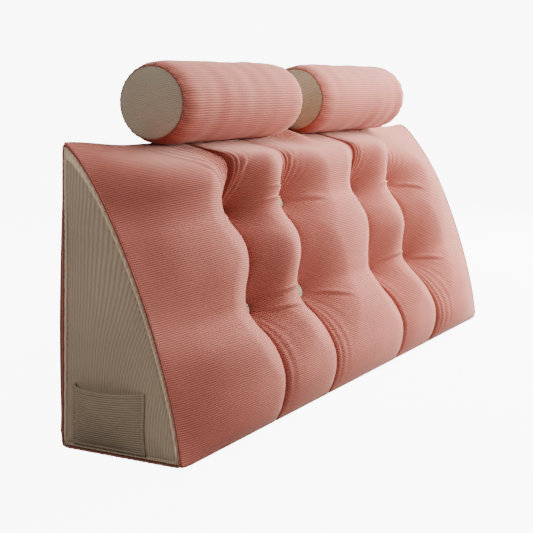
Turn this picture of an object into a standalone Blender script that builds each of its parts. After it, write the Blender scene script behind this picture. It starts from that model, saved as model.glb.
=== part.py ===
"""Wedge-shaped headboard cushion with two bolster headrests, in metres, +Z up.

The cushion stands on its flat base. X runs along its length, the tufted front faces -Y and
the flat back faces +Y. The origin is the middle of the whole part's footprint, at floor
level. Most of the shape is worked out in the cross-section's own plane: depth is measured
forwards from the back plane, height upwards from the floor, and reach is the length of
cloth measured up the front from its lower seam.
"""

import bisect
import math

import bmesh
import bpy
from mathutils import Vector

# The cushion's outline
LENGTH = 1.50
HEIGHT = 0.50
DEPTH = 0.23
FRONT_CURVE = 1.338  # exponent of the front seam's curve: 1 is straight, 2 an ellipse
TOP_SAG = 0.012  # how far the top edge sinks between its corners
SAG_RUN = 0.20  # length over which it sinks, from each end
SEAM_INSET = 0.005  # back and base stand proud of the seams that bound them
EDGE_SOFTNESS = 0.035  # how far in from an end the back and base reach their full size
SEAM_EASE = 0.45  # share of the inset that the long seams keep away from the ends

# Tufting: columns measured from the middle of the length, rows by height on the front seam
TUFT_COLUMNS = (-0.39, -0.18, 0.18, 0.39)
TUFT_ROW_HEIGHTS = (0.208, 0.374)
PIT_HALF_WIDTH = 0.0175  # flat floor under a button
HAIR = 0.00001  # allowance for rounding
PIT_REACH = 0.080  # how far a tuft draws the cloth in around it
PIT_STEEPNESS = 0.66
FLANK_ROUNDNESS = 2.3  # 2 makes a channel's cross-section half an ellipse
END_CREST = 0.62  # where an end channel is fullest, as a share of its width

# One row for each channel: its crown above the front seam, and how much a tuft row lowers it
CHANNELS = (
    {"crown": 0.046, "saddle": 0.005},
    {"crown": 0.043, "saddle": 0.026},
    {"crown": 0.050, "saddle": 0.014},
    {"crown": 0.043, "saddle": 0.026},
    {"crown": 0.046, "saddle": 0.005},
)
SADDLE_HALF_LENGTH = 0.030
TOP_TURN = 1.20  # share of the way from the upper tufts up, past which cloth bulges only forwards

# Places up the front are counted in named rows: 0 is the lower seam, 1 the lower tufts, 2 the
# upper tufts and 3 the upper seam
FULLNESS = (
    {"place": 0.00, "share": 0.00},
    {"place": 0.10, "share": 0.46},
    {"place": 0.45, "share": 1.00},
    {"place": 1.00, "share": 0.92},
    {"place": 1.50, "share": 1.12},
    {"place": 2.00, "share": 1.40},
    {"place": 2.42, "share": 1.78},
    {"place": 2.84, "share": 1.16},
    {"place": 3.00, "share": 0.00},
)
GROOVE_FLOOR = (
    {"place": 0.00, "floor": 0.000},
    {"place": 0.30, "floor": 0.013},
    {"place": 0.70, "floor": 0.002},
    {"place": 1.00, "floor": -0.026},
    {"place": 1.35, "floor": -0.008},
    {"place": 1.65, "floor": 0.001},
    {"place": 2.00, "floor": 0.000},
    {"place": 2.35, "floor": 0.018},
    {"place": 2.75, "floor": 0.024},
    {"place": 3.00, "floor": 0.000},
)

# Gathers: small folds beside a groove, between its outer tufts and the long seams
GATHER_HEIGHT = 0.0034
GATHER_PITCH = 0.0195
GATHER_SPREAD = 0.040

# Buttons
BUTTON_RADIUS = 0.0138
BUTTON_FOOT_RADIUS = 0.0124
BUTTON_RIM = 0.0028
BUTTON_SHOULDER_RADIUS = 0.0091
BUTTON_SHOULDER = 0.0056
BUTTON_DOME = 0.0070
BUTTON_SIDES = 12
BUTTON_SEAT = 0.0008

# End panels and welts. Rings on an end are shares of the way out to its seam
CLOTH = 0.0020
CLEARANCE = 0.0003
PANEL_GAP = 0.0005
PANEL_CROWN = 0.010
PANEL_CROWN_CURVE = 2.2
PANEL_EDGE = 0.950
CROWN_RINGS = (0.75, 0.45)
RIDGE_HEIGHT = 0.0018
RIDGE_SHARES = (0.936, 0.908, 0.892)
WELT_HEIGHT = 0.0042
WELT_SHARE = 0.977
WELT_HALF_SHARE = 0.020
WELT_SIDES = 6

# The pocket, sewn to the left end panel; depths are from the back plane
POCKET_DEPTHS = (0.030, 0.166)
POCKET_HEIGHTS = (0.015, 0.117)
POCKET_GAP = 0.0010
POCKET_POUCH = 0.0205  # how far its mouth stands open
POUCH_ACROSS = 0.6  # exponents of the pouch's curves: a smaller one is fuller
POUCH_UP = 0.7
POCKET_SEAM = 0.006
POCKET_MOUTH_DIP = 0.002
POCKET_COLUMNS = (0.0, 0.045, 0.13, 0.26, 0.42, 0.58, 0.74, 0.87, 0.955, 1.0)
POCKET_ROWS = (0.0, 0.06, 0.18, 0.36, 0.58, 0.80, 1.0)

# Bolsters: two equal ones, mirrored about the middle of the length
BOLSTER_RADIUS = 0.074
BOLSTER_LENGTH = 0.474
BOLSTER_GAP = 0.100
BOLSTER_AXIS_DEPTH = 0.028
BOLSTER_UNDERSIDE = 0.4855
BOLSTER_SHOULDER = 0.058
SHOULDER_STEPS = 4
BOLSTER_SIDES = 28
CAP_RADIUS = 0.062
CAP_DOME = 0.012
CAP_RINGS = (0.0, 0.6, 1.0)
SEAT_GAP = 0.0008
SEAT_MARGIN = 0.03  # length over which the dent under a bolster runs out past its end

# Colours, linear
ROSE = (0.46, 0.17, 0.135, 1.0)
BEIGE = (0.33, 0.25, 0.18, 1.0)
BUTTON_BEIGE = (0.45, 0.36, 0.27, 1.0)
ROUGHNESS = 0.9
SHARP_EDGE = math.radians(50)

# Where cross-sections are taken, and the points up the front of each one
BESIDE_GROOVE = (0.0, 0.0085, 0.0175, 0.0285, 0.040, 0.056, 0.080)
BESIDE_ROW = (0.0, 0.0085, 0.0175, 0.029, 0.047)
LOWER_REACHES = (0.0, 0.012, 0.034, 0.066, 0.104, 0.138)
UPPER_GAPS = (0.0, 0.011, 0.026, 0.044, 0.066, 0.094)
END_STATIONS = (0.0, 0.010, 0.026, 0.055, 0.095, 0.140, 0.185, 0.228)
BESIDE_MIDDLE = 0.050
BACK_SHARES = (0.94, 0.80, 0.55, 0.30, 0.08)
BASE_SHARES = (0.10, 0.32, 0.62, 0.90)

BODY_END = LENGTH / 2 - WELT_HEIGHT - CLEARANCE


def seam_curve(samples=600):
    """The front seam from its foot to the top corner: (reach, depth, height) for each sample."""
    rows = []
    reach = 0.0
    for i in range(samples + 1):
        turn = math.pi / 2 * (1 - i / samples)
        depth = SEAM_INSET + (DEPTH - SEAM_INSET) * math.sin(turn) ** (2 / FRONT_CURVE)
        height = SEAM_INSET + (HEIGHT - SEAM_INSET) * math.cos(turn) ** (2 / FRONT_CURVE)
        if rows:
            reach += math.hypot(depth - rows[-1][1], height - rows[-1][2])
        rows.append((reach, depth, height))
    return rows


SEAM = seam_curve()
SEAM_REACHES = [row[0] for row in SEAM]
FULL_REACH = SEAM_REACHES[-1]


def on_seam(reach):
    """Depth and height on the front seam."""
    i = min(max(bisect.bisect_right(SEAM_REACHES, reach), 1), len(SEAM) - 1)
    low, high = SEAM[i - 1], SEAM[i]
    share = (reach - low[0]) / (high[0] - low[0])
    return low[1] + (high[1] - low[1]) * share, low[2] + (high[2] - low[2]) * share


def outward(reach, step=0.012):
    """Unit normal of the front seam's curve, as depth and height."""
    low = on_seam(max(reach - step, 0.0))
    high = on_seam(min(reach + step, FULL_REACH))
    along = math.hypot(high[0] - low[0], high[1] - low[1])
    return (high[1] - low[1]) / along, -(high[0] - low[0]) / along


def reach_at_height(height):
    return next(row[0] for row in SEAM if row[2] >= height)


TUFT_ROWS = tuple(reach_at_height(height) for height in TUFT_ROW_HEIGHTS)
NAMED_ROWS = (0.0, *TUFT_ROWS, FULL_REACH)


def smooth(share):
    return share * share * (3 - 2 * share)


def looked_up(table, column, reach):
    """A value for a place up the front, eased between the table's rows."""
    row = min(max(bisect.bisect_right(NAMED_ROWS, reach) - 1, 0), len(NAMED_ROWS) - 2)
    spot = row + (reach - NAMED_ROWS[row]) / (NAMED_ROWS[row + 1] - NAMED_ROWS[row])
    for low, high in zip(table, table[1:]):
        if spot <= high["place"]:
            share = (spot - low["place"]) / (high["place"] - low["place"])
            return low[column] + (high[column] - low[column]) * smooth(share)
    return table[-1][column]


def groove_floor(reach):
    """Height of a groove's floor above the seam's curve."""
    return looked_up(GROOVE_FLOOR, "floor", reach)


def across_channel(channel, share):
    """A channel's fullness across its width, 0 at its grooves and 1 at its crest."""
    last = len(CHANNELS) - 1
    if channel in (0, last):
        from_end = share if channel == 0 else 1 - share
        if from_end < END_CREST:
            return math.sin(math.pi / 2 * from_end / END_CREST)
        offset = (from_end - END_CREST) / (1 - END_CREST)
    else:
        offset = abs(2 * share - 1)
    return max(1 - offset**FLANK_ROUNDNESS, 0.0) ** (1 / FLANK_ROUNDNESS)


def channel_height(x, reach):
    """The channels and grooves before the tufts draw them in, above the seam's curve."""
    edges = (-BODY_END, *TUFT_COLUMNS, BODY_END)
    channel = min(max(bisect.bisect_right(edges, x) - 1, 0), len(CHANNELS) - 1)
    share = (x - edges[channel]) / (edges[channel + 1] - edges[channel])
    floor = groove_floor(reach)
    left = 0.0 if channel == 0 else floor
    right = 0.0 if channel == len(CHANNELS) - 1 else floor
    base = left + (right - left) * share
    crown = CHANNELS[channel]["crown"] * looked_up(FULLNESS, "share", reach)
    for row in TUFT_ROWS:
        away = (reach - row) / SADDLE_HALF_LENGTH
        crown -= CHANNELS[channel]["saddle"] * math.exp(-away * away)
    return base + max(crown - base, 0.0) * across_channel(channel, share)


def gathers(x, reach):
    """Height of the small folds that fan out of the outer tufts towards the long seams."""
    if reach > TUFT_ROWS[1]:
        share = (reach - TUFT_ROWS[1]) / (FULL_REACH - TUFT_ROWS[1])
    else:
        share = max(0.0, (TUFT_ROWS[0] - reach) / TUFT_ROWS[0])
    across = min(abs(x - column) for column in TUFT_COLUMNS)
    fade = math.exp(-((across / GATHER_SPREAD) ** 2)) * math.sin(math.pi * share)
    return GATHER_HEIGHT * fade * -math.cos(2 * math.pi * across / GATHER_PITCH)


def front_height(x, reach):
    """The cloth's height above the seam's curve, with the funnel that each tuft pulls."""
    height = channel_height(x, reach) + gathers(x, reach)
    for column in TUFT_COLUMNS:
        for row in TUFT_ROWS:
            across, along = abs(x - column), abs(reach - row)
            away = 0.0
            if max(across, along) > PIT_HALF_WIDTH + HAIR:
                away = math.hypot(across, along) - PIT_HALF_WIDTH
            if away < PIT_REACH:
                pulled = 1 - (away / PIT_REACH) ** PIT_STEEPNESS
                height += (groove_floor(row) - height) * pulled
    return height


def sag(x):
    """How far the top edge has sunk at this place along the length."""
    return TOP_SAG * smooth(min(1.0, (BODY_END - abs(x)) / SAG_RUN))


def end_share(x):
    """1 at an end of the cushion, falling to 0 where the back and base are at full size."""
    return max(0.0, 1 - (BODY_END - abs(x)) / EDGE_SOFTNESS) ** 2


def under_bolster(x, depth, height):
    """Lowers a point of the cushion's top where a bolster's round underside presses on it."""
    inner = BOLSTER_GAP / 2
    past = max(inner - abs(x), abs(x) - inner - BOLSTER_LENGTH, 0.0)
    reach = (BOLSTER_RADIUS + SEAT_GAP) * max(0.0, 1 - past / SEAT_MARGIN)
    across = depth - BOLSTER_AXIS_DEPTH
    axis_height = BOLSTER_UNDERSIDE + BOLSTER_RADIUS
    if math.hypot(across, height - axis_height) >= reach or abs(across) >= reach:
        return height
    return axis_height - math.sqrt(reach * reach - across * across)


def front_point(x, reach):
    """Depth and height of the cloth at a place along the cushion and up its front."""
    depth, height = on_seam(reach)
    out_depth, out_height = outward(reach)
    raised = front_height(x, reach)
    above = max(0.0, (reach - TUFT_ROWS[1]) / (FULL_REACH - TUFT_ROWS[1]))
    out_height *= 1 - smooth(min(1.0, above / TOP_TURN))
    ease = SEAM_INSET * (1 - SEAM_EASE) * (1 - end_share(x))
    height -= sag(x) * (height / HEIGHT) ** 2 + ease * (1 - reach / FULL_REACH)
    depth -= ease * (reach / FULL_REACH) ** 4
    depth += out_depth * raised
    height = max(height + out_height * raised, SEAM_INSET * SEAM_EASE)
    return depth, under_bolster(x, depth, height)


def stations():
    """Places along the length where a cross-section is taken, closest together at the tufts."""
    middle = (TUFT_COLUMNS[0] + TUFT_COLUMNS[1]) / 2
    found = {0.0, middle, -middle, BESIDE_MIDDLE, -BESIDE_MIDDLE}
    for inset in END_STATIONS:
        found |= {BODY_END - inset, inset - BODY_END}
    for column in TUFT_COLUMNS:
        for away in BESIDE_GROOVE:
            found |= {column - away, column + away}
    return sorted(found)


def reaches():
    found = {(TUFT_ROWS[0] + TUFT_ROWS[1]) / 2, *LOWER_REACHES}
    found |= {FULL_REACH - gap for gap in UPPER_GAPS}
    for row in TUFT_ROWS:
        for away in BESIDE_ROW:
            found |= {row - away, row + away}
    return sorted(found)


def cross_section(x):
    """One closed ring of (depth, height): up the front, down the back and along the base."""
    end = end_share(x)
    ring = [front_point(x, reach) for reach in reaches()]
    top = ring[-1][1]
    ring += [(SEAM_INSET * end, SEAM_INSET + (top - SEAM_INSET) * share) for share in BACK_SHARES]
    foot = SEAM_INSET * (end + SEAM_EASE * (1 - end))
    ring.append((foot, foot))
    ring += [(foot + (DEPTH - foot) * share, SEAM_INSET * end) for share in BASE_SHARES]
    return ring


END_RING = cross_section(BODY_END)


def inner_radius(step=0.0005):
    """Radius of the circle that touches the back, the base and the front seam of an end."""
    radius = 0.0
    while min(math.hypot(radius - row[1], radius - row[2]) for row in SEAM) > radius - SEAM_INSET:
        radius += step
    return radius


HUB = inner_radius()


def scaled_ring(share):
    """The outline of an end drawn in evenly towards its hub."""
    return [(HUB + (depth - HUB) * share, HUB + (height - HUB) * share) for depth, height in END_RING]


def crown_at(share):
    """How far an end stands out, at a share of the way to its seam: straight between rings."""
    rings = (PANEL_EDGE, *CROWN_RINGS, 0.0)
    heights = [PANEL_CROWN * (1 - (ring / PANEL_EDGE) ** PANEL_CROWN_CURVE) for ring in rings]
    for i in range(len(rings) - 1):
        if share >= rings[i + 1]:
            between = max(0.0, (rings[i] - share) / (rings[i] - rings[i + 1]))
            return heights[i] + (heights[i + 1] - heights[i]) * between
    return heights[-1]


def place(x, depth, height):
    return Vector((x, DEPTH / 2 - depth, height))


def mesh_object(name, points, faces, material):
    mesh = bpy.data.meshes.new(name)
    mesh.from_pydata(points, [], faces)
    work = bmesh.new()
    work.from_mesh(mesh)
    bmesh.ops.recalc_face_normals(work, faces=work.faces)
    work.to_mesh(mesh)
    work.free()
    made = bpy.data.objects.new(name, mesh)
    bpy.context.scene.collection.objects.link(made)
    mesh.materials.append(material)
    mesh.shade_smooth()
    mesh.set_sharp_from_angle(angle=SHARP_EDGE)
    return made


def bridge(first, second, count):
    """Quads between two closed rings that have the same number of points."""
    return [
        (first + i, first + (i + 1) % count, second + (i + 1) % count, second + i)
        for i in range(count)
    ]


def fan(ring, tip, count):
    return [(ring + i, ring + (i + 1) % count, tip) for i in range(count)]


def make_cushion(material):
    """The stuffed wedge in one piece: lofted cross-sections closed by crowned ends."""
    cuts = stations()
    points, faces = [], []
    count = len(END_RING)
    for x in cuts:
        points += [place(x, *spot) for spot in cross_section(x)]
    for i in range(len(cuts) - 1):
        faces += bridge(i * count, (i + 1) * count, count)
    for side, last in ((-1, 0), (1, (len(cuts) - 1) * count)):
        for share in (PANEL_EDGE, *CROWN_RINGS):
            start = len(points)
            x = side * (BODY_END + crown_at(share))
            points += [place(x, *spot) for spot in scaled_ring(share)]
            faces += bridge(last, start, count)
            last = start
        points.append(place(side * (BODY_END + crown_at(0.0)), HUB, HUB))
        faces += fan(last, len(points) - 1, count)
    return mesh_object("cushion", points, faces, material)


def make_end_panel(name, side, material):
    """An end panel: a sheet over the cushion's crowned end, with a turned ridge at its rim."""
    under = [(share, crown_at(share)) for share in (*reversed(CROWN_RINGS), PANEL_EDGE)]
    over = [(PANEL_EDGE, CLOTH + RIDGE_HEIGHT / 2)]
    over += [(share, crown_at(share) + CLOTH + RIDGE_HEIGHT) for share in RIDGE_SHARES[:2]]
    over += [(share, crown_at(share) + CLOTH) for share in (RIDGE_SHARES[2], *CROWN_RINGS)]
    base = BODY_END + PANEL_GAP
    count = len(END_RING)
    points, faces = [], []
    for i, (share, rise) in enumerate(under + over):
        points += [place(side * (base + rise), *spot) for spot in scaled_ring(share)]
        if i:
            faces += bridge((i - 1) * count, i * count, count)
    inner, outer = len(points), len(points) + 1
    points.append(place(side * (base + crown_at(0.0)), HUB, HUB))
    points.append(place(side * (base + crown_at(0.0) + CLOTH), HUB, HUB))
    faces += fan(0, inner, count) + fan(inner - count, outer, count)
    return mesh_object(name, points, faces, material)


def make_welt(name, side, material):
    """The corded seam round an end panel: a thin closed tube between the panel and the body."""
    count = len(END_RING)
    middle = BODY_END + CLEARANCE + WELT_HEIGHT / 2
    points, faces = [], []
    for k in range(WELT_SIDES):
        angle = 2 * math.pi * k / WELT_SIDES
        x = side * (middle + WELT_HEIGHT / 2 * math.sin(angle))
        share = WELT_SHARE + WELT_HALF_SHARE * math.cos(angle)
        points += [place(x, *spot) for spot in scaled_ring(share)]
        faces += bridge(k * count, (k + 1) % WELT_SIDES * count, count)
    return mesh_object(name, points, faces, material)


def end_rise(depth, height):
    """How far a point on an end panel's outer face stands beyond the cushion's body."""
    share = 0.0
    for before, point in zip(END_RING[-1:] + END_RING, END_RING):
        normal = (point[1] - before[1], before[0] - point[0])
        edge = normal[0] * (point[0] - HUB) + normal[1] * (point[1] - HUB)
        spot = normal[0] * (depth - HUB) + normal[1] * (height - HUB)
        share = max(share, spot / edge)
    return PANEL_GAP + CLOTH + crown_at(share)


def make_pocket(material):
    """A patch pocket on the left end, sewn at its sides and foot, standing a little open."""
    width = POCKET_DEPTHS[1] - POCKET_DEPTHS[0]
    tall = POCKET_HEIGHTS[1] - POCKET_HEIGHTS[0]
    inner, outer = [], []
    for up in POCKET_ROWS:
        risen = max((up * tall - POCKET_SEAM) / (tall - POCKET_SEAM), 0.0)
        for across in POCKET_COLUMNS:
            inside = (across * width - POCKET_SEAM) / (width - 2 * POCKET_SEAM)
            inside = min(max(inside, 0.0), 1.0)
            pouch = POCKET_POUCH * math.sin(math.pi * inside) ** POUCH_ACROSS * risen**POUCH_UP
            dip = POCKET_MOUTH_DIP * math.sin(math.pi * across) * up**3
            depth = POCKET_DEPTHS[0] + width * across
            height = POCKET_HEIGHTS[0] + tall * up - dip
            out = BODY_END + end_rise(depth, height) + POCKET_GAP + pouch
            inner.append(place(-out, depth, height))
            outer.append(place(-out - CLOTH, depth, height))
    wide, rows = len(POCKET_COLUMNS), len(POCKET_ROWS)
    shift = len(inner)
    faces = []
    for j in range(rows - 1):
        for i in range(wide - 1):
            low, high = j * wide + i, (j + 1) * wide + i
            quad = (low, low + 1, high + 1, high)
            faces += [quad, tuple(shift + corner for corner in quad)]
    rim = list(range(wide))
    rim += [j * wide + wide - 1 for j in range(1, rows)]
    rim += [(rows - 1) * wide + i for i in range(wide - 2, -1, -1)]
    rim += [j * wide for j in range(rows - 2, 0, -1)]
    for corner, following in zip(rim, rim[1:] + rim[:1]):
        faces.append((corner, following, shift + following, shift + corner))
    return mesh_object("pocket", inner + outer, faces, material)


def turned(profile, sides):
    """Points and faces of a profile of (along, radius), on the axis at its ends only."""
    points, faces = [(profile[0][0], 0.0, 0.0)], []
    for along, radius in profile[1:-1]:
        start = len(points)
        for k in range(sides):
            angle = 2 * math.pi * (k + 0.5) / sides
            points.append((along, radius * math.cos(angle), radius * math.sin(angle)))
        faces += bridge(start - sides, start, sides) if start > 1 else fan(start, 0, sides)
    points.append((profile[-1][0], 0.0, 0.0))
    faces += fan(len(points) - 1 - sides, len(points) - 1, sides)
    return points, faces


def make_button(name, column, row, material):
    """A covered button: a domed disc lying on the flat floor of its tuft."""
    profile = (
        (0.0, 0.0),
        (0.0, BUTTON_FOOT_RADIUS),
        (BUTTON_RIM, BUTTON_RADIUS),
        (BUTTON_SHOULDER, BUTTON_SHOULDER_RADIUS),
        (BUTTON_DOME, 0.0),
    )
    made = mesh_object(name, *turned(profile, BUTTON_SIDES), material)
    out_depth, out_height = outward(row)
    axis = Vector((0.0, -out_depth, out_height))
    made.rotation_mode = "QUATERNION"
    made.rotation_quaternion = axis.to_track_quat("X", "Z")
    made.location = place(column, *front_point(column, row)) + axis * BUTTON_SEAT
    return made


def bolster_profile():
    """A bolster's body from its left end to its right one, as (along, radius)."""
    recess = CLOTH + CLEARANCE
    lip = CAP_RADIUS + 2 * CLEARANCE
    half = [(recess - CAP_DOME * (1 - share**2), CAP_RADIUS * share) for share in CAP_RINGS]
    half[-1] = (recess, lip)
    half.append((0.0, lip))
    for step in range(1, SHOULDER_STEPS + 1):
        turn = math.pi / 2 * step / SHOULDER_STEPS
        along = BOLSTER_SHOULDER * (1 - math.cos(turn))
        half.append((along, lip + (BOLSTER_RADIUS - lip) * math.sin(turn)))
    return half + [(BOLSTER_LENGTH - along, radius) for along, radius in reversed(half)]


def cap_profile():
    """A domed sheet, its edge level with the bolster's end seam."""
    over = [(-CAP_DOME * (1 - share**2), CAP_RADIUS * share) for share in CAP_RINGS]
    return over + [(along + CLOTH, radius) for along, radius in reversed(over)]


def make_bolster(name, start, rose, beige):
    """A stuffed bolster and the two caps sewn into its ends."""
    seat = place(start, BOLSTER_AXIS_DEPTH, BOLSTER_UNDERSIDE + BOLSTER_RADIUS)
    body = mesh_object(name, *turned(bolster_profile(), BOLSTER_SIDES), rose)
    body.location = seat
    for word in ("left", "right"):
        cap = mesh_object(f"{name}_cap_{word}", *turned(cap_profile(), BOLSTER_SIDES), beige)
        cap.location = seat
        if word == "right":
            cap.location.x += BOLSTER_LENGTH
            cap.rotation_euler.z = math.pi


def fabric(name, colour):
    material = bpy.data.materials.new(name)
    material.use_nodes = True
    shader = material.node_tree.nodes["Principled BSDF"]
    shader.inputs["Base Color"].default_value = colour
    shader.inputs["Roughness"].default_value = ROUGHNESS
    shader.inputs["Metallic"].default_value = 0.0
    return material


def centre_footprint():
    """Moves the whole part so that the middle of its footprint is at the origin."""
    bpy.context.view_layer.update()
    items = list(bpy.context.scene.objects)
    corners = [item.matrix_world @ point.co for item in items for point in item.data.vertices]
    for axis in (0, 1):
        values = [corner[axis] for corner in corners]
        middle = (min(values) + max(values)) / 2
        for item in items:
            item.location[axis] -= middle


def main():
    for item in list(bpy.data.objects):
        bpy.data.objects.remove(item)
    rose = fabric("rose_corduroy", ROSE)
    beige = fabric("beige_corduroy", BEIGE)
    button_cloth = fabric("button_cloth", BUTTON_BEIGE)
    make_cushion(rose)
    for side, word in ((-1, "left"), (1, "right")):
        make_end_panel(f"end_panel_{word}", side, beige)
        make_welt(f"welt_{word}", side, rose)
    make_pocket(beige)
    for i, column in enumerate(TUFT_COLUMNS):
        for row, word in zip(TUFT_ROWS, ("lower", "upper")):
            make_button(f"button_{word}_{i + 1}", column, row, button_cloth)
    inner = BOLSTER_GAP / 2
    make_bolster("bolster_left", -inner - BOLSTER_LENGTH, rose, beige)
    make_bolster("bolster_right", inner, rose, beige)
    centre_footprint()


main()
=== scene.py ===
"""Looks of the tufted wedge cushion with its two bolsters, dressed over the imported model.

Lengths are in metres, apart from those in four tables. The cover is worked out in the
cushion's cross-section plane: depth is measured forwards from the back plane, height upwards
from the floor, and reach is the length of cloth up the front from its lower seam. Every UV
map is in metres too, with u along the corduroy's ribs and v across them, so the ribs keep one
pitch over each piece.
"""

import math

import bmesh
import bpy
import numpy as np
from mathutils import Matrix, Vector


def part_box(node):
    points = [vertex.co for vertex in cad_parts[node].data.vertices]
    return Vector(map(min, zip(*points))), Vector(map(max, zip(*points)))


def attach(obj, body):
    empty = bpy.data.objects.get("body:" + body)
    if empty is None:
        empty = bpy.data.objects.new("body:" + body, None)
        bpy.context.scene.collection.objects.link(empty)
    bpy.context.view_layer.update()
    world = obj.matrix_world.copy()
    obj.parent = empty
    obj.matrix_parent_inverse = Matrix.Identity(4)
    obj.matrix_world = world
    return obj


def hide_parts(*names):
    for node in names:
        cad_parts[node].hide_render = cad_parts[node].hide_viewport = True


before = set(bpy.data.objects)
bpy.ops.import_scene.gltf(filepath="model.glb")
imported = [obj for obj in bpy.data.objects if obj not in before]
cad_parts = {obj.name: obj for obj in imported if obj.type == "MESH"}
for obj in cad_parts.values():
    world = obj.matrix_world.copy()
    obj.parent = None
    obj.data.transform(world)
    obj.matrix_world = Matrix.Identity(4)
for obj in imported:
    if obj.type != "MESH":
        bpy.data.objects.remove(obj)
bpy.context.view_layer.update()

# The cushion's cross-section and tufting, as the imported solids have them
LENGTH, HEIGHT, DEPTH = 1.50, 0.50, 0.23
FRONT_CURVE = 1.338
TOP_SAG, SAG_RUN = 0.012, 0.20
SEAM_INSET, EDGE_SOFTNESS, SEAM_EASE = 0.005, 0.035, 0.45
TUFT_COLUMNS = (-0.39, -0.18, 0.18, 0.39)
TUFT_ROW_HEIGHTS = (0.208, 0.374)
PIT_RADIUS, PIT_REACH, PIT_STEEPNESS, PIT_FADE = 0.0150, 0.120, 0.60, 1.4
FLANK_ROUNDNESS, TOP_ROUNDNESS, END_CRESTS = 2.4, 2.0, (0.78, 0.62)
GROOVE_DEPTH, LAST_CHANNEL_RISE = 0.014, 2.4
GROOVE_WIDTHS = (0.0052, 0.0030, 0.0030, 0.0042)  # above the upper tufts
LOW_GROOVE_WIDTH = 0.0021  # below the lower tufts
GROOVE_DRIFT = (-0.026, -0.004, 0.0, 0.0)  # how far each groove's foot strays sideways
TOP_TURN = 1.20

# The lengths in the tables of crests, groove floors, folds and creases are in millimetres.
# Here is each channel's crest over the seam's curve. The place counts the named rows up the
# front: 0 lower seam, 1 lower tufts, 2 upper tufts, 3 upper seam
CRESTS = (
    # place, outer left, narrow left, middle, narrow right, outer right
    (0.00, 0, 0, 0, 0, 0),
    (0.10, 20, 20, 22, 20, 28),
    (0.20, 30, 32, 34, 32, 42),
    (0.45, 42, 43, 45, 43, 50),
    (0.75, 45, 42, 46, 42, 46),
    (0.90, 34, 30, 38, 28, 40),
    (1.00, 28, 25, 33, 20, 37),
    (1.12, 32, 33, 38, 27, 40),
    (1.38, 46, 52, 51, 45, 49),
    (1.60, 52, 56, 58, 45, 54),
    (1.80, 53, 52, 58, 42, 56),
    (1.92, 52, 55, 56, 45, 57),
    (2.00, 56, 64, 61, 54, 58),
    (2.10, 64, 78, 70, 67, 58),
    (2.24, 77, 91, 82, 80, 53),
    (2.40, 82, 97, 87, 86, 44),
    (2.56, 76, 93, 80, 82, 33),
    (2.70, 60, 73, 61, 65, 22),
    (2.84, 36, 40, 35, 36, 10),
    (2.92, 20, 24, 21, 22, 4),
    (3.00, 0, 0, 0, 0, 0),
)
GROOVE_FLOOR = (
    # place, height over the seam's curve
    (0.00, 0),
    (0.30, 20),
    (0.70, 6),
    (1.00, -26),
    (1.35, -8),
    (1.65, 1),
    (2.00, 0),
    (2.35, 44),
    (2.70, 46),
    (2.88, 16),
    (3.00, 0),
)
TUFT_FLOORS = ((-0.034, -0.012), (-0.026, 0.002), (-0.032, -0.005), (-0.032, -0.006))
WELT_HEIGHT, CLEARANCE, CLOTH, PANEL_GAP = 0.0042, 0.0003, 0.0020, 0.0005
WELT_SHARE, WELT_TIP_REACH, WELT_RADIUS, WELT_SQUASH, WELT_SIDES = 0.989, 0.006, 0.0021, 1.05, 12
STITCH_SHARE, STITCH_RISE = 0.984, 0.0048
PANEL_CROWN, PANEL_CROWN_CURVE, PANEL_EDGE, TIP_REACH = 0.010, 2.2, 0.966, 0.018
PANEL_RIM_RISE, PUCKER_PITCH = 0.0008, 0.0105
BOLSTER_RADIUS, BOLSTER_LENGTH, BOLSTER_GAP = 0.074, 0.474, 0.100
BOLSTER_AXIS_DEPTH, BOLSTER_UNDERSIDE, BOLSTER_SHOULDER = 0.028, 0.4855, 0.058
CAP_RADIUS, CAP_DOME = 0.062, 0.012
SEAT_GAP, SEAT_MARGIN = 0.0008, 0.03
BACK_PUFF, BACK_STEPS = 0.0095, 18
TIP_DROOP = 0.013  # the top corner of the right end hangs a little
BETWEEN_SWELL = 0.018  # the top stands higher between the bolsters, where nothing presses on it
POCKET_DEPTHS, POCKET_HEIGHTS = (0.030, 0.166), (0.015, 0.117)
POCKET_GAP, POCKET_SEAM, POCKET_POUCH, POCKET_MOUTH_DIP = 0.0010, 0.006, 0.0240, 0.0020
BODY_END = LENGTH / 2 - WELT_HEIGHT - CLEARANCE

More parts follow.
